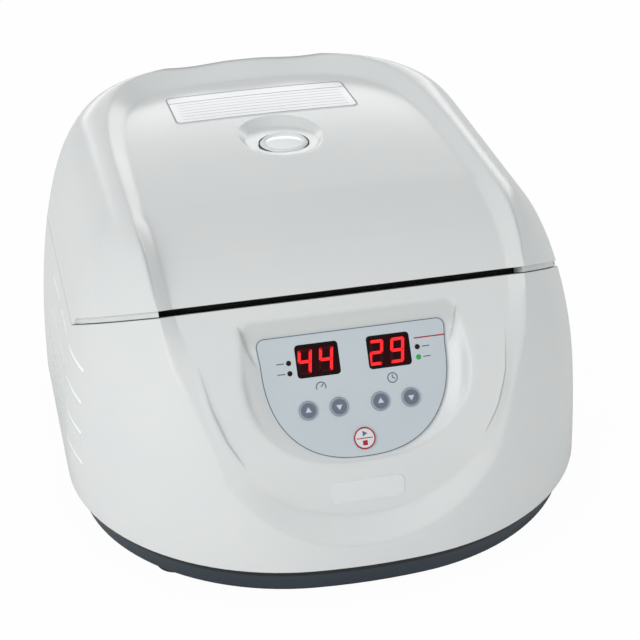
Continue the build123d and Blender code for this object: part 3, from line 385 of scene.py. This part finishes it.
# Each finish: its paler and deeper tint, its grain's size and depth in mm, and its roughness
finishes = {
    # the housing's recess tint is painted shade on the recess wall over the panel
    "housing": {"tints": ((238, 241, 239), (233, 236, 235)), "grain": (0.8, 0.02), "rough": (0.2, 0.28), "edge": 6.0,
                "recess": (220, 224, 222)},
    # the base's darker line along its top is a painted shadow gap below the shell's skirt
    "base": {"tints": ((46, 60, 70), (38, 51, 61)), "grain": (0.7, 0.04), "rough": (0.4, 0.52),
             "paintedShadowAbove": (16.5, 17.0, (10, 11, 17))},
    # the slat's glow is painted light that brightens the louvres
    "slatPaintedGlow": {"tints": ((248, 250, 249), (244, 247, 246)), "grain": (0.8, 0.02), "rough": (0.2, 0.3),
             "glow": ((255, 255, 255), 0.14)},
    # this dark finish is painted shade for the back of the finger gap
    "paintedGapShadow": {"tints": ((22, 22, 23), (16, 16, 17)), "grain": (0.6, 0.05), "rough": (0.55, 0.7)},
    "rubber": {"tints": ((34, 34, 35), (44, 44, 45)), "grain": (0.5, 0.05), "rough": (0.6, 0.8)},
    "steel": {"tints": ((176, 178, 182), (160, 162, 166)), "grain": (0.3, 0.03), "rough": (0.25, 0.4), "metallic": 1},
    "sleeve": {"tints": ((196, 198, 202), (184, 186, 191)), "grain": (0.3, 0.03), "rough": (0.2, 0.36), "metallic": 1},
    "bowl": {"tints": ((226, 228, 231), (214, 217, 221)), "rough": (0.22, 0.42), "metallic": 1, "ringPitch": 0.8,
             "shift": (0, -0.038, 0)},
    "rotor": {"tints": ((196, 199, 204), (184, 187, 193)), "rough": (0.28, 0.46), "metallic": 1, "ringPitch": 0.7,
              "shift": (0, -0.038, 0)},
    "darkPaint": {"tints": ((48, 49, 52), (38, 39, 42)), "grain": (0.6, 0.05), "rough": (0.4, 0.55)},
    "bracket": {"tints": ((120, 123, 128), (108, 111, 117)), "grain": (0.5, 0.03), "rough": (0.4, 0.5)},
    "innerPlastic": {"tints": ((58, 60, 64), (50, 52, 56)), "grain": (0.6, 0.05), "rough": (0.45, 0.6)},
    "blackPlastic": {"tints": ((32, 33, 35), (26, 27, 29)), "grain": (0.5, 0.04), "rough": (0.38, 0.5)},
    "blackGloss": {"tints": ((24, 24, 26), (20, 20, 22)), "grain": (1.5, 0.004), "rough": (0.12, 0.2)},
    "liner": {"tints": ((206, 210, 212), (198, 202, 205)), "grain": (0.8, 0.05), "rough": (0.42, 0.55)},
    "board": {"tints": ((24, 92, 56), (16, 76, 44)), "grain": (1.2, 0.04), "rough": (0.3, 0.45)},
    "panelSheet": {"tints": ((212, 222, 226), (205, 215, 221)), "grain": (0.35, 0.015), "rough": (0.36, 0.46)},
    "displayWindow": {"tints": ((46, 4, 9), (38, 3, 7)), "grain": (2, 0.002), "rough": (0.12, 0.18), "gloss": 0.12},
    "displayBorder": {"tints": ((12, 8, 9), (8, 6, 7)), "grain": (1, 0.004), "rough": (0.25, 0.35), "gloss": 0.2},
    "litRed": {"tints": ((200, 20, 24),), "rough": (0.3, 0.4), "glow": ((250, 26, 34), 0.95)},
    "unlitRed": {"tints": ((60, 8, 13), (54, 7, 11)), "rough": (0.2, 0.3), "gloss": 0.15},
    "litGreen": {"tints": ((20, 150, 70),), "rough": (0.2, 0.3), "glow": ((10, 150, 70), 0.45)},
    "lampDark": {"tints": ((14, 12, 16), (10, 9, 12)), "rough": (0.12, 0.2), "gloss": 0.35},
    "keySlate": {"tints": ((116, 125, 141), (108, 117, 134)), "grain": (0.4, 0.02), "rough": (0.4, 0.5)},
    "keyRim": {"tints": ((168, 174, 188), (160, 166, 181)), "grain": (0.4, 0.03), "rough": (0.35, 0.45)},
    "keyWhite": {"tints": ((236, 238, 240), (230, 232, 235)), "grain": (0.4, 0.02), "rough": (0.36, 0.44)},
    "printWhite": {"tints": ((222, 227, 236), (214, 220, 230)), "grain": (0.3, 0.03), "rough": (0.4, 0.5)},
    "printRed": {"tints": ((182, 32, 46), (172, 28, 40)), "grain": (0.3, 0.03), "rough": (0.4, 0.5)},
    "printBlue": {"tints": ((108, 116, 130), (100, 108, 123)), "grain": (0.3, 0.03), "rough": (0.4, 0.5)},
    "printGrey": {"tints": ((134, 140, 150), (124, 131, 141)), "grain": (0.3, 0.03), "rough": (0.4, 0.5)},
    "printSlate": {"tints": ((104, 114, 136), (94, 104, 128)), "grain": (0.3, 0.03), "rough": (0.4, 0.5)},
    "printPale": {"tints": ((196, 200, 206), (188, 193, 200)), "grain": (0.3, 0.03), "rough": (0.4, 0.5)},
    "barePlate": {"tints": ((242, 245, 244), (238, 241, 241)), "grain": (0.4, 0.02), "rough": (0.28, 0.36)},
    "labelSheet": {"tints": ((250, 252, 252), (246, 249, 249)), "grain": (0.4, 0.01), "rough": (0.2, 0.28)},
    # the lens's glow is painted light that brightens the window's disc
    "lens": {"tints": ((246, 250, 250), (240, 246, 247)), "grain": (6, 0.004), "rough": (0.05, 0.1), "clear": 0.05,
             "glow": ((255, 255, 255), 0.12)},
    "lensRing": {"tints": ((246, 249, 250), (241, 246, 247)), "grain": (1.5, 0.004), "rough": (0.06, 0.12)},
}
made = {name: makeFinish(name, look) for name, look in finishes.items()}
print("finishes made:", len(made))

nodeFinish = {
    "housing": ("body_shell", "lid_shell", "hinge_blocks", "lid_knuckles"),
    "base": ("base_pan",),
    "rubber": ("rubber_feet", "bowl_gasket", "motor_dampers", "sleeve_cushions"),
    "steel": ("foot_screws", "motor_screws", "liner_screws", "latch_hook", "latch_striker", "hinge_pins",
              "motor_shaft"),
    "sleeve": ("tube_sleeves", "rotor_nut"),
    "bowl": ("chamber_bowl",),
    "rotor": ("rotor_head",),
    "darkPaint": ("motor", "latch_coil", "power_supply"),
    "bracket": ("motor_plate", "rear_plate"),
    "innerPlastic": ("board_posts", "latch_housing"),
    "blackPlastic": ("lid_switch", "power_inlet", "fuse_drawer", "switch_frame"),
    "blackGloss": ("power_rocker",),
    "liner": ("lid_liner",),
    "board": ("control_board",),
    "panelSheet": ("control_panel",),
    "displayWindow": ("speed_display", "time_display"),
    "lampDark": ("indicator_lamps",),
    "keyRim": ("speed_up_key", "speed_down_key", "time_up_key", "time_down_key"),
    "keyWhite": ("run_stop_key",),
    "barePlate": ("name_plate",),
    "labelSheet": ("lid_label",),
    "lens": ("window_lens",),
    "lensRing": ("window_ring",),
}
for finishName, nodeNames in nodeFinish.items():
    for nodeName in nodeNames:
        nodes[nodeName].data.materials.clear()
        nodes[nodeName].data.materials.append(made[finishName])
print("frame nodes finished:", sum(len(nodeNames) for nodeNames in nodeFinish.values()))

# Camera, at the photograph's angle
shot = {"eye": (-0.2213, -1.1229, 0.7010), "yaw": 11.87, "pitch": 28.45, "roll": -1.50, "lens": 106.875,
        "shift": (-0.0025, 0.0033), "sensor": 36, "near": 0.05, "far": 30}


def aimCamera():
    yaw, pitch, roll = (math.radians(shot[key]) for key in ("yaw", "pitch", "roll"))
    ahead = Vector((math.sin(yaw) * math.cos(pitch), math.cos(yaw) * math.cos(pitch), -math.sin(pitch)))
    right = Vector((math.cos(yaw), -math.sin(yaw), 0))
    above = right.cross(ahead)
    across = right * math.cos(roll) + above * math.sin(roll)
    upward = above * math.cos(roll) - right * math.sin(roll)
    bpy.ops.object.camera_add(location=shot["eye"])
    camera = bpy.context.object
    camera.rotation_euler = Matrix((across, upward, -ahead)).transposed().to_euler()
    camera.data.sensor_width = shot["sensor"]
    camera.data.lens = shot["lens"]
    camera.data.shift_x, camera.data.shift_y = shot["shift"]
    camera.data.clip_start = shot["near"]
    camera.data.clip_end = shot["far"]
    bpy.context.scene.camera = camera


aimCamera()

# Floor, lamps and background
studio = {
    "lamps": {
        "keyLamp": {"power": 15, "place": (-1.6, -1.3, 1.2), "size": (1.4, 1.4)},
        "fillLamp": {"power": 1.6, "place": (1.9, -0.6, 0.9), "size": (1.6, 1.6)},
        "topLamp": {"power": 1.6, "place": (-0.2, -0.4, 2.2), "size": (1.6, 1.6)},
        "rearLamp": {"power": 8.5, "place": (0.4, 2.3, 0.66), "size": (2.8, 0.46)},
    },
    "aim": (0, 0, 0.1), "worldTint": (0.98, 0.985, 1.0, 1), "worldStrength": 0.55,
    "floorSize": 14, "floorTint": (0.98, 0.98, 0.98, 1), "floorRough": 0.9, "floorGlow": 0.97,
}


def addLamp(name, look):
    bpy.ops.object.light_add(type="AREA", location=look["place"])
    lamp = bpy.context.object
    lamp.name = name
    lamp.data.shape = "RECTANGLE"
    lamp.data.size, lamp.data.size_y = look["size"]
    lamp.data.energy = look["power"]
    lamp.rotation_euler = (Vector(studio["aim"]) - Vector(look["place"])).to_track_quat("-Z", "Y").to_euler()


def buildWorld():  # white where the camera sees it, and dimmer as light on the part
    world = bpy.data.worlds.new("paleRoom")
    bpy.context.scene.world = world
    world.use_nodes = True
    tree = world.node_tree
    plain = tree.nodes["Background"]
    feed(tree, studio["worldTint"], plain.inputs["Color"])
    feed(tree, studio["worldStrength"], plain.inputs["Strength"])
    white = addNode(tree, "Background", {"Color": (1, 1, 1, 1), "Strength": 1})
    rays = addNode(tree, "LightPath").outputs
    seen = mathNode(tree, "MAXIMUM", rays["Is Camera Ray"], rays["Is Transmission Ray"])
    mixShaders(tree, seen, plain, white, tree.nodes["World Output"].inputs["Surface"])


def buildFloor():
    deselectAll()
    bpy.ops.mesh.primitive_plane_add(size=studio["floorSize"], location=(0, 0, 0))
    floor = bpy.context.object
    floor.name = "floor"
    paint = bpy.data.materials.new("floorPaint")
    paint.use_nodes = True
    tree = paint.node_tree
    shader = tree.nodes["Principled BSDF"]
    values = {"Base Color": studio["floorTint"], "Roughness": studio["floorRough"], "Specular IOR Level": 0}
    for label, value in values.items():
        feed(tree, value, shader.inputs[label])
    glow = addNode(tree, "Emission", {"Strength": 1})
    seen = mathNode(tree, "MULTIPLY", addNode(tree, "LightPath").outputs["Is Camera Ray"], studio["floorGlow"])
    mixShaders(tree, seen, shader, glow, tree.nodes["Material Output"].inputs["Surface"])
    floor.data.materials.append(paint)


for lampName, lampLook in studio["lamps"].items():
    addLamp(lampName, lampLook)
buildWorld()
buildFloor()
bpy.context.scene.view_settings.view_transform = "Standard"
print("camera, floor and lamps set")


# Flat shapes that the printed marks start from
def flatPlate(width, height, corner=0):
    deselectAll()
    bpy.ops.mesh.primitive_plane_add(size=1, location=(0, 0, 0))
    plate = bpy.context.object
    plate.scale = (width * mm, height * mm, 1)
    settle(plate)
    if corner:
        pickFaces(plate, everyFace)
        bpy.ops.mesh.bevel(offset=corner * mm, segments=8, affect="VERTICES")
        leaveEdit()
    return plate


def flatDisc(radius, sides=64):
    deselectAll()
    bpy.ops.mesh.primitive_circle_add(vertices=sides, radius=radius * mm, fill_type="NGON", location=(0, 0, 0))
    return bpy.context.object


def keepRing(plate, margin, line):  # leaves a ring of the plate, a line wide and a margin in from its edge
    pickFaces(plate, everyFace)
    if margin:
        bpy.ops.mesh.inset(thickness=margin * mm, depth=0)
        bpy.ops.mesh.select_all(action="INVERT")
        bpy.ops.mesh.delete(type="FACE")
        bpy.ops.mesh.select_all(action="SELECT")
    bpy.ops.mesh.inset(thickness=line * mm, depth=0)
    bpy.ops.mesh.delete(type="FACE")
    leaveEdit()
    return plate


def thicken(piece, thick, side=1):  # gives a flat shape its thickness, upwards unless it says otherwise
    wall = piece.modifiers.new("thickness", "SOLIDIFY")
    wall.thickness = thick * mm
    wall.offset = side
    applyAll(piece)
    return piece


def subdivided(piece, cuts):
    pickFaces(piece, everyFace)
    bpy.ops.mesh.subdivide(number_cuts=cuts)
    leaveEdit()
    return piece


def cutAway(piece, cutters):
    for cutter in cutters:
        cut = piece.modifiers.new("cut", "BOOLEAN")
        cut.operation = "DIFFERENCE"
        cut.solver = "EXACT"
        cut.object = cutter
    applyAll(piece)
    for cutter in cutters:
        bpy.data.objects.remove(cutter)


def lieOn(piece, target, gap, axis="Z", limit=0.0):  # lays a fine flat mark on a curved surface
    wrap = piece.modifiers.new("lieOn", "SHRINKWRAP")
    wrap.target = target
    wrap.wrap_method = "PROJECT"
    wrap.use_project_x = axis == "X"
    wrap.use_project_y = axis == "Y"
    wrap.use_project_z = axis == "Z"
    wrap.use_negative_direction = True
    wrap.use_positive_direction = True
    wrap.project_limit = limit
    wrap.offset = gap * mm
    applyAll(piece)


# The panel's own frame: across, up along its slope, and out of its face
panel = {"origin": (0, -0.1595, 0.1426), "tilt": 31.0, "half": 57.0, "top": 16.2, "low": 61.0, "power": 2.4,
         "corner": 5.5, "flare": 0.024, "under": 0.75, "film": 0.1, "window": (24.6, 18.6), "windowCorner": 2.3,
         "windowX": 21.9, "lineInset": 0.15, "line": 0.5, "border": (26.4, 20.0), "borderLine": 1.2, "print": 0.06,
         "footSteps": 48, "cornerSteps": 8, "cutDepth": 6, "cutSides": 48}
panelPlace = Matrix.Translation(panel["origin"]) @ turned(90 - panel["tilt"], "X")


def onPanel(across, along, out=0.0):
    return panelPlace @ shifted(across, along, out)


def sheetEdge():  # the sheet's outline: a rounded foot and a flat head with small corners
    half, low, top, corner, power = (panel[key] for key in ("half", "low", "top", "corner", "power"))
    points = []
    for step in range(panel["footSteps"] + 1):
        turn = math.pi * step / panel["footSteps"]
        along, down = math.cos(turn), math.sin(turn)
        reach = (abs(along) ** power + down ** power) ** (-1 / power)
        points.append((half * along * reach, -low * down * reach))
    for side, start in ((-1, 180), (1, 90)):
        for step in range(panel["cornerSteps"] + 1):
            turn = math.radians(start - 90 * step / panel["cornerSteps"])
            points.append((side * (half - corner) + corner * math.cos(turn), top - corner + corner * math.sin(turn)))
    return [(across * (1 + panel["flare"] * max(along, 0) / top), along) for across, along in points]


def sheetShape():
    edge = sheetEdge()
    shape = flatDisc(10, len(edge))
    for point, (across, along) in zip(shape.data.vertices, reversed(edge)):
        point.co = (across * mm, along * mm, 0)
    pickFaces(shape, everyFace)
    bpy.ops.mesh.normals_make_consistent(inside=False)
    leaveEdit()
    if shape.data.polygons[0].normal.z < 0:
        shape.data.flip_normals()
    return shape


keys = {
    "speedUp": {"node": "speed_up_key", "at": (-31.5, -29.4), "turn": 0},
    "speedDown": {"node": "speed_down_key", "at": (-12.7, -29.4), "turn": 180},
    "timeUp": {"node": "time_up_key", "at": (12.7, -29.4), "turn": 0},
    "timeDown": {"node": "time_down_key", "at": (31.5, -29.4), "turn": 180},
}
keyLook = {"face": 4.6, "cap": 1.2, "thick": 0.07, "arrow": 2.15, "arrowThick": 0.05, "hole": 5.75}
runKey = {"at": (0, -50), "face": 6.6, "ringLine": 0.82, "bar": (9.8, 0.55), "hole": 6.75, "mark": 1.9, "square": 2.9,
          "offset": 2.8}
lamps = {"radius": 1.45, "at": ((-39.5, 0), (-39.5, -6.2), (39.5, 0), (39.5, -6.2)), "hole": 1.6, "rise": 0.45,
         "depth": 5, "round": 0.5}


def panelCutters():  # the windows and the holes of the keys and lamps
    cutters = []
    for side in (-1, 1):
        window = thicken(flatPlate(*panel["window"], panel["windowCorner"]), panel["cutDepth"])
        settle(window, shifted(side * panel["windowX"], 0, -panel["cutDepth"] / 2))
        cutters.append(window)
    holes = [(key["at"], keyLook["hole"]) for key in keys.values()]
    holes.append((runKey["at"], runKey["hole"]))
    holes += [(spot, lamps["hole"]) for spot in lamps["at"]]
    for spot, radius in holes:
        cutter = addCylinder(radius, panel["cutDepth"], panel["cutSides"])
        settle(cutter, shifted(*spot))
        cutters.append(cutter)
    return cutters


def buildPanelFilm():
    film = thicken(sheetShape(), panel["film"] + panel["under"])
    settle(film, shifted(0, 0, -panel["under"]))
    cutAway(film, panelCutters())
    settle(film, onPanel(0, 0))
    finishPiece(film, "panelFilm", "base", made["panelSheet"], ("control_panel",))
    line = thicken(keepRing(sheetShape(), panel["lineInset"], panel["line"]), panel["print"])
    settle(line, onPanel(0, 0, panel["film"]))
    finishPiece(line, "panelLine", "base", made["printBlue"])
    frames = []
    for side in (-1, 1):
        plate = flatPlate(*panel["border"], panel["windowCorner"])
        border = thicken(keepRing(plate, 0, panel["borderLine"]), panel["print"])
        settle(border, onPanel(side * panel["windowX"], 0, panel["film"]))
        frames.append(border)
    finishPiece(joined(frames, "windowBorders"), "windowBorders", "base", made["displayBorder"])


buildPanelFilm()

# Signs on the film. Hands are given by their turn and their length as a share of the icon's radius.
marks = {"redLine": (19.4, 0.75), "redLineAt": (47.7, 5.4), "icon": 3.2, "iconY": -16.4, "iconLine": 0.62,
         "clockHands": ((90, 0.62), (-20, 0.5)), "dialHands": ((50, 0.75),), "dialFoot": -0.35,
         "dash": (4.6, 0.6), "dashStep": 5.2}


def placedMark(shape, across, along, turn=0.0):
    thicken(shape, panel["print"])
    settle(shape, onPanel(across, along, panel["film"]) @ turned(turn))
    return shape


def iconHands(hands, across):
    pieces = []
    for turn, share in hands:
        length = marks["icon"] * share
        hand = flatPlate(length, marks["iconLine"])
        settle(hand, shifted(length / 2, 0))
        pieces.append(placedMark(hand, across, marks["iconY"], turn))
    return pieces


def buildPanelMarks():
    accent = placedMark(flatPlate(*marks["redLine"]), *marks["redLineAt"])
    finishPiece(accent, "panelAccent", "base", made["printRed"])
    clock = keepRing(flatDisc(marks["icon"]), 0, marks["iconLine"])
    pieces = [placedMark(clock, panel["windowX"], marks["iconY"])]
    pieces += iconHands(marks["clockHands"], panel["windowX"])
    dial = keepRing(flatDisc(marks["icon"]), 0, marks["iconLine"])
    pickFaces(dial, lambda centre, normal: centre.y < marks["dialFoot"] * marks["icon"] * mm)
    bpy.ops.mesh.delete(type="FACE")
    leaveEdit()
    pieces.append(placedMark(dial, -panel["windowX"], marks["iconY"]))
    pieces += iconHands(marks["dialHands"], -panel["windowX"])
    for across, along in lamps["at"]:
        pieces.append(placedMark(flatPlate(*marks["dash"]), across + math.copysign(marks["dashStep"], across), along))
    finishPiece(joined(pieces, "panelSigns"), "panelSigns", "base", made["printSlate"])


buildPanelMarks()


def buildKeys():
    top = keyLook["cap"]
    for name, key in keys.items():
        face = thicken(flatDisc(keyLook["face"]), keyLook["thick"])
        settle(face, onPanel(*key["at"], top))
        finishPiece(face, name + "Face", key["node"], made["keySlate"])
        arrow = thicken(flatDisc(keyLook["arrow"], 3), keyLook["arrowThick"])
        settle(arrow, onPanel(*key["at"], top + keyLook["thick"]) @ turned(key["turn"]))
        finishPiece(arrow, name + "Arrow", key["node"], made["printWhite"])
    across, along = runKey["at"]
    face = thicken(flatDisc(runKey["face"]), keyLook["thick"])
    settle(face, onPanel(across, along, top))
    finishPiece(face, "runKeyFace", "run_stop_key", made["keyWhite"])
    top += keyLook["thick"]
    ring = keepRing(flatDisc(runKey["face"]), 0, runKey["ringLine"])
    square = flatPlate(runKey["square"], runKey["square"])
    settle(square, shifted(0, -runKey["offset"]))
    red = thicken(joined([ring, flatPlate(*runKey["bar"]), square], "runKeyRed"), panel["print"])
    settle(red, onPanel(across, along, top))
    finishPiece(red, "runKeyRed", "run_stop_key", made["printRed"])
    play = thicken(flatDisc(runKey["mark"], 3), panel["print"])
    settle(play, onPanel(across, along + runKey["offset"], top) @ turned(-90))
    finishPiece(play, "runKeyStart", "run_stop_key", made["printSlate"])


buildKeys()


def buildLamps():
    lamp = addCylinder(lamps["radius"], lamps["depth"], 40, lamps["rise"] - lamps["depth"] / 2)
    bevelTop(lamp, lamps["round"])
    smooth(lamp, 50)
    dark = [copyOf(lamp, onPanel(*spot)) for spot in lamps["at"][:3]]
    finishPiece(joined(dark, "darkLamps"), "darkLamps", "base", made["lampDark"], ("indicator_lamps",))
    settle(lamp, onPanel(*lamps["at"][3]))
    finishPiece(lamp, "greenLamp", "base", made["litGreen"])


buildLamps()
print("panel film, marks, keys and lamps built")

digits = {"height": 15.2, "width": 8.6, "stroke": 1.85, "pitch": 13.0, "slant": 8.0, "gap": 0.35, "out": -0.3,
          "thick": 0.05, "shift": (-1.3, -0.3), "shown": ("44", "29"), "tip": 0.42, "lap": 0.6}
strokes = {"a": (0, 1, 0), "b": (0.5, 0.5, 90), "c": (0.5, -0.5, 90), "d": (0, -1, 0), "e": (-0.5, -0.5, 90),
           "f": (-0.5, 0.5, 90), "g": (0, 0, 0)}
lit = {"2": "abdeg", "4": "bcfg", "9": "abcdfg"}


def segmentBar(length):
    bar = flatPlate(length + digits["stroke"] * digits["lap"] - digits["gap"], digits["stroke"])
    pickFaces(bar, everyFace)
    bpy.ops.mesh.bevel(offset=digits["stroke"] * digits["tip"] * mm, segments=2, affect="VERTICES")
    leaveEdit()
    return thicken(bar, digits["thick"])


def buildDigits():
    tall = digits["height"] - digits["stroke"]
    wide = digits["width"] - digits["stroke"]
    slant = Matrix.Identity(4)
    slant[0][1] = math.tan(math.radians(digits["slant"]))
    upright, level = segmentBar(tall / 2), segmentBar(wide)
    for shown, middle, name in zip(digits["shown"], (-1, 1), ("speedDigits", "timeDigits")):
        at = onPanel(middle * panel["windowX"] + digits["shift"][0], digits["shift"][1], digits["out"])
        for finishName, isLit, ending in (("litRed", True, ""), ("unlitRed", False, "Off")):
            bars = []
            for side, figure in zip((-0.5, 0.5), shown):
                for letter, (across, up, turn) in strokes.items():
                    if (letter in lit[figure]) != isLit:
                        continue
                    bar = copyOf(upright if turn else level)
                    spot = shifted(across * wide, up * tall / 2)
                    bar.data.transform(at @ shifted(side * digits["pitch"], 0) @ slant @ spot @ turned(turn))
                    bars.append(bar)
            finishPiece(joined(bars, name), name + ending, "base", made[finishName])
    for pattern in (upright, level):
        bpy.data.objects.remove(pattern)


buildDigits()
print("numerals built")

# The lines start above the lid and are laid down on its sheet
label = {"middle": (0, 120, 210), "size": (129.6, 57.6), "corner": 4.8, "line": 0.95, "head": 14.0, "headShare": 0.8,
         "headInset": 1, "rows": 6, "rowStart": 6, "rowStep": 6.2, "rowLength": 118, "rowLine": 0.5, "gap": 0.03,
         "thick": 0.05, "cuts": 10}


def laidOnLabel(piece, name, finish):
    subdivided(piece, label["cuts"])
    settle(piece, shifted(*label["middle"]))
    lieOn(piece, nodes["lid_label"], label["gap"])
    thicken(piece, label["thick"])
    finishPiece(piece, name, "lid", finish)


def buildLidLabel():
    width, height = label["size"]
    top = height / 2 - label["head"]
    border = keepRing(flatPlate(width, height, label["corner"]), 0, label["line"])
    head = flatPlate(width - label["headInset"], label["line"] * label["headShare"])
    settle(head, shifted(0, top))
    laidOnLabel(joined([border, head], "labelLines"), "labelLines", made["printGrey"])
    rows = []
    for row in range(label["rows"]):
        rule = flatPlate(label["rowLength"], label["rowLine"])
        settle(rule, shifted(0, top - label["rowStart"] - row * label["rowStep"]))
        rows.append(rule)
    laidOnLabel(joined(rows, "labelRules"), "labelRules", made["printPale"])


buildLidLabel()
print("lid label built")

windowLook = {"y": 38.0, "radius": 16.35, "width": 0.75, "low": 196.2, "high": 199.0}


def buildWindowDarkRing():  # a dark ring that shows round the foot of the window
    low, high = windowLook["low"], windowLook["high"]
    seat = addCylinder(windowLook["radius"] + windowLook["width"], high - low, 96, (low + high) / 2)
    settle(seat, shifted(0, windowLook["y"]))
    pickFaces(seat, lambda centre, normal: abs(normal.z) > 0.9)
    bpy.ops.mesh.inset(thickness=windowLook["width"] * mm, depth=0)
    bpy.ops.mesh.bridge_edge_loops()
    leaveEdit()
    finishPiece(seat, "windowDarkRing", "lid", made["rubber"])


gap = {"half": 111.7, "y": (-121.4, -120.1), "z": (163.6, 168.2), "round": 0.3}


def buildGapShadowStrip():  # painted shade: a dark strip at the back of the finger gap, where the gap lies in shadow
    near, far = gap["y"]
    low, high = gap["z"]
    strip = addBox((2 * gap["half"], far - near, high - low), (0, (near + far) / 2, (low + high) / 2))
    roundEdges(strip, gap["round"])
    smooth(strip)
    finishPiece(strip, "gapShadowStrip", "lid", made["paintedGapShadow"])


buildWindowDarkRing()
buildGapShadowStrip()
print("window seal and gap strip built")

rear = {"plateY": 190.0, "screwAt": ((-52.3, 34.8), (52.3, 34.8), (-52.3, 75.2), (52.3, 75.2)), "head": 2.6,
        "rise": 1.5, "round": 0.7, "blade": (3.12, 0.7, 1.4), "screwTurn": 20}


def buildRearScrews():  # pan-head screws of the rear plate
    head = addCylinder(rear["head"], rear["rise"], 40, rear["rise"] / 2)
    bevelTop(head, rear["round"])
    blades = []
    for turn in (0, 90):
        blade = addBox(rear["blade"], (0, 0, rear["rise"]))
        settle(blade, turned(turn))
        blades.append(blade)
    cutAway(head, blades)
    smooth(head, 40)
    screws = []
    for index, (x, z) in enumerate(rear["screwAt"]):
        spot = shifted(x, rear["plateY"], z) @ turned(-90, "X")
        screws.append(copyOf(head, spot @ turned(rear["screwTurn"] * index)))
    bpy.data.objects.remove(head)
    finishPiece(joined(screws, "rearScrews"), "rearScrews", "base", made["steel"])


rocker = {"x": 33.0, "y": 200.0, "bar": (0.8, 4.0), "barAt": 50.6, "ring": 2.2, "ringLine": 0.7, "ringAt": 60.6,
          "gap": 0.03, "thick": 0.05, "cuts": 3}


def buildRockerMarks():  # the on and off marks of the power switch
    pieces = []
    ring = keepRing(flatDisc(rocker["ring"]), 0, rocker["ringLine"])
    for shape, z in ((flatPlate(*rocker["bar"]), rocker["barAt"]), (ring, rocker["ringAt"])):
        subdivided(shape, rocker["cuts"])
        settle(shape, shifted(rocker["x"], rocker["y"], z) @ turned(-90, "X"))
        lieOn(shape, nodes["power_rocker"], rocker["gap"], "Y")
        pieces.append(thicken(shape, rocker["thick"]))
    finishPiece(joined(pieces, "rockerMarks"), "rockerMarks", "rocker", made["printWhite"])


buildRearScrews()
buildRockerMarks()
print("rear screws and switch marks built")

slats = {"firstY": -98.0, "pitchY": 50.0, "columns": 3, "firstZ": 52.0, "pitchZ": 22.0, "rows": 4, "length": 38.0,
         "height": 3.4, "lap": 0.5, "depth": 0.85, "thick": 0.8, "cuts": 12, "out": 200}


def sideSlat(side, column, row):
    deselectAll()
    bpy.ops.mesh.primitive_grid_add(x_subdivisions=1, y_subdivisions=slats["cuts"], size=1, location=(0, 0, 0))
    slatPaintedGlow = bpy.context.object
    slatPaintedGlow.scale = ((slats["height"] + 2 * slats["lap"]) * mm, (slats["length"] + 2 * slats["lap"]) * mm, 1)
    y = slats["firstY"] + column * slats["pitchY"] + slats["length"] / 2
    z = slats["firstZ"] + row * slats["pitchZ"] + slats["height"] / 2
    settle(slatPaintedGlow, shifted(side * slats["out"], y, z) @ turned(-90 * side, "Y"))
    lieOn(slatPaintedGlow, nodes["body_shell"], 0, "X", slats["out"] * mm)
    settle(slatPaintedGlow, shifted(-side * slats["depth"], 0))
    return slatPaintedGlow


def buildSlats():  # pale louvres that close the side slots a little way in, with a painted glow that brightens them
    places = [(side, column, row) for side in (-1, 1)
              for column in range(slats["columns"]) for row in range(slats["rows"])]
    whole = thicken(joined([sideSlat(*place) for place in places], "sideSlats"), slats["thick"], 0)
    finishPiece(whole, "sideSlats", "base", made["slatPaintedGlow"])


buildSlats()
print("side slats built")
